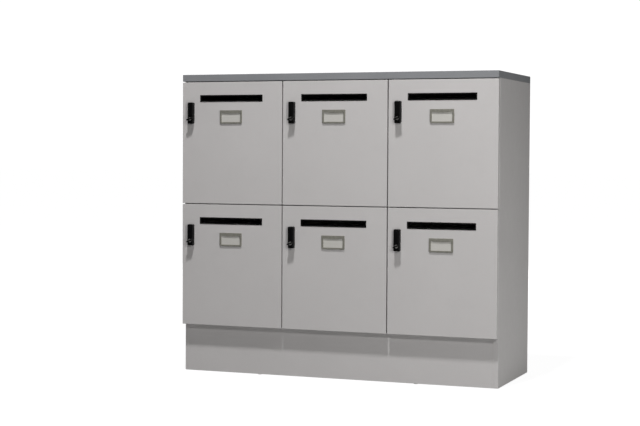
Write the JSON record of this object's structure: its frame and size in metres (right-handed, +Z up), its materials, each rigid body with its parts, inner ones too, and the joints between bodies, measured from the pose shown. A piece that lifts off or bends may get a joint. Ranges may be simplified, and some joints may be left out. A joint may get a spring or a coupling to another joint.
{
  "type": "mailbox cabinet",
  "caption": "Board cabinet of locked mailboxes: hinged doors with a letter slot, a label holder and a key lock, over a recessed plinth under a thick grey top.",
  "frame": {"origin": "on the floor, in the middle of the cabinet's box with its keys in", "axes": "+X to the right seen from the front, +Y to the back, +Z up"},
  "size_m": [1.2, 0.484, 1.1],
  "materials": {
    "pale_board": "melamine-faced board, fine matt texture",
    "back_board": "thin lacquered fibreboard",
    "slate_board": "slate-grey laminate, matt",
    "slot_plastic": "black moulded plastic",
    "label_metal": "dull grey-green metal",
    "lock_plastic": "black moulded plastic, satin",
    "lock_metal": "plated, slightly worn",
    "key_plastic": "black moulded key head",
    "plated_steel": "nickel-plated pressed steel",
    "screw_steel": "zinc-plated",
    "dowel_wood": "plain beech",
    "glide_plastic": "pale grey plastic"
  },
  "bodies": {
    "cabinet": {"top_panel": "slate_board", "left_side_panel": "pale_board", "right_side_panel": "pale_board", "left_partition": "pale_board", "right_partition": "pale_board", "bottom_panel": "pale_board", "back_panel": "back_board", "front_plinth": "pale_board", "rear_plinth": "pale_board", "left_shelf": "pale_board", "middle_shelf": "pale_board", "right_shelf": "pale_board", "dowels": "dowel_wood", "floor_glides": "glide_plastic", "strike_plates": "plated_steel", "strike_screws": "screw_steel", "hinge_arms": "plated_steel", "hinge_arm_screws": "screw_steel"},
    "lower_left_door": {"lower_left_door_panel": "pale_board", "lower_left_slot_liner": "slot_plastic", "lower_left_label_holder": "label_metal", "lower_left_lock_body": "lock_plastic", "lower_left_hinge_cups": "plated_steel"},
    "lower_left_lock": {"lower_left_lock_core": "lock_metal", "lower_left_key": "key_plastic"},
    "lower_middle_door": {"lower_middle_door_panel": "pale_board", "lower_middle_slot_liner": "slot_plastic", "lower_middle_label_holder": "label_metal", "lower_middle_lock_body": "lock_plastic", "lower_middle_hinge_cups": "plated_steel"},
    "lower_middle_lock": {"lower_middle_lock_core": "lock_metal", "lower_middle_key": "key_plastic"},
    "lower_right_door": {"lower_right_door_panel": "pale_board", "lower_right_slot_liner": "slot_plastic", "lower_right_label_holder": "label_metal", "lower_right_lock_body": "lock_plastic", "lower_right_hinge_cups": "plated_steel"},
    "lower_right_lock": {"lower_right_lock_core": "lock_metal", "lower_right_key": "key_plastic"},
    "upper_left_door": {"upper_left_door_panel": "pale_board", "upper_left_slot_liner": "slot_plastic", "upper_left_label_holder": "label_metal", "upper_left_lock_body": "lock_plastic", "upper_left_hinge_cups": "plated_steel"},
    "upper_left_lock": {"upper_left_lock_core": "lock_metal", "upper_left_key": "key_plastic"},
    "upper_middle_door": {"upper_middle_door_panel": "pale_board", "upper_middle_slot_liner": "slot_plastic", "upper_middle_label_holder": "label_metal", "upper_middle_lock_body": "lock_plastic", "upper_middle_hinge_cups": "plated_steel"},
    "upper_middle_lock": {"upper_middle_lock_core": "lock_metal", "upper_middle_key": "key_plastic"},
    "upper_right_door": {"upper_right_door_panel": "pale_board", "upper_right_slot_liner": "slot_plastic", "upper_right_label_holder": "label_metal", "upper_right_lock_body": "lock_plastic", "upper_right_hinge_cups": "plated_steel"},
    "upper_right_lock": {"upper_right_lock_core": "lock_metal", "upper_right_key": "key_plastic"}
  },
  "joints": [
    {"name": "lower_left_door_hinge", "type": "hinge", "parent": "cabinet", "child": "lower_left_door", "pos_m": [-0.2104, -0.2112, 0.3995], "axis": [0, 0, 1], "range_deg": [0, 90]},
    {"name": "lower_left_lock_turn", "type": "hinge", "parent": "lower_left_door", "child": "lower_left_lock", "pos_m": [-0.563, -0.218, 0.4875], "axis": [0, 1, 0], "range_deg": [0, 90]},
    {"name": "lower_middle_door_hinge", "type": "hinge", "parent": "cabinet", "child": "lower_middle_door", "pos_m": [0.1911, -0.2112, 0.3995], "axis": [0, 0, 1], "range_deg": [0, 90]},
    {"name": "lower_middle_lock_turn", "type": "hinge", "parent": "lower_middle_door", "child": "lower_middle_lock", "pos_m": [-0.1615, -0.218, 0.4875], "axis": [0, 1, 0], "range_deg": [0, 90]},
    {"name": "lower_right_door_hinge", "type": "hinge", "parent": "cabinet", "child": "lower_right_door", "pos_m": [0.5926, -0.2112, 0.3995], "axis": [0, 0, 1], "range_deg": [0, 90]},
    {"name": "lower_right_lock_turn", "type": "hinge", "parent": "lower_right_door", "child": "lower_right_lock", "pos_m": [0.24, -0.218, 0.4875], "axis": [0, 1, 0], "range_deg": [0, 90]},
    {"name": "upper_left_door_hinge", "type": "hinge", "parent": "cabinet", "child": "upper_left_door", "pos_m": [-0.2104, -0.2112, 0.849], "axis": [0, 0, 1], "range_deg": [0, 90]},
    {"name": "upper_left_lock_turn", "type": "hinge", "parent": "upper_left_door", "child": "upper_left_lock", "pos_m": [-0.563, -0.218, 0.937], "axis": [0, 1, 0], "range_deg": [0, 90]},
    {"name": "upper_middle_door_hinge", "type": "hinge", "parent": "cabinet", "child": "upper_middle_door", "pos_m": [0.1911, -0.2112, 0.849], "axis": [0, 0, 1], "range_deg": [0, 90]},
    {"name": "upper_middle_lock_turn", "type": "hinge", "parent": "upper_middle_door", "child": "upper_middle_lock", "pos_m": [-0.1615, -0.218, 0.937], "axis": [0, 1, 0], "range_deg": [0, 90]},
    {"name": "upper_right_door_hinge", "type": "hinge", "parent": "cabinet", "child": "upper_right_door", "pos_m": [0.5926, -0.2112, 0.849], "axis": [0, 0, 1], "range_deg": [0, 90]},
    {"name": "upper_right_lock_turn", "type": "hinge", "parent": "upper_right_door", "child": "upper_right_lock", "pos_m": [0.24, -0.218, 0.937], "axis": [0, 1, 0], "range_deg": [0, 90]}
  ]
}
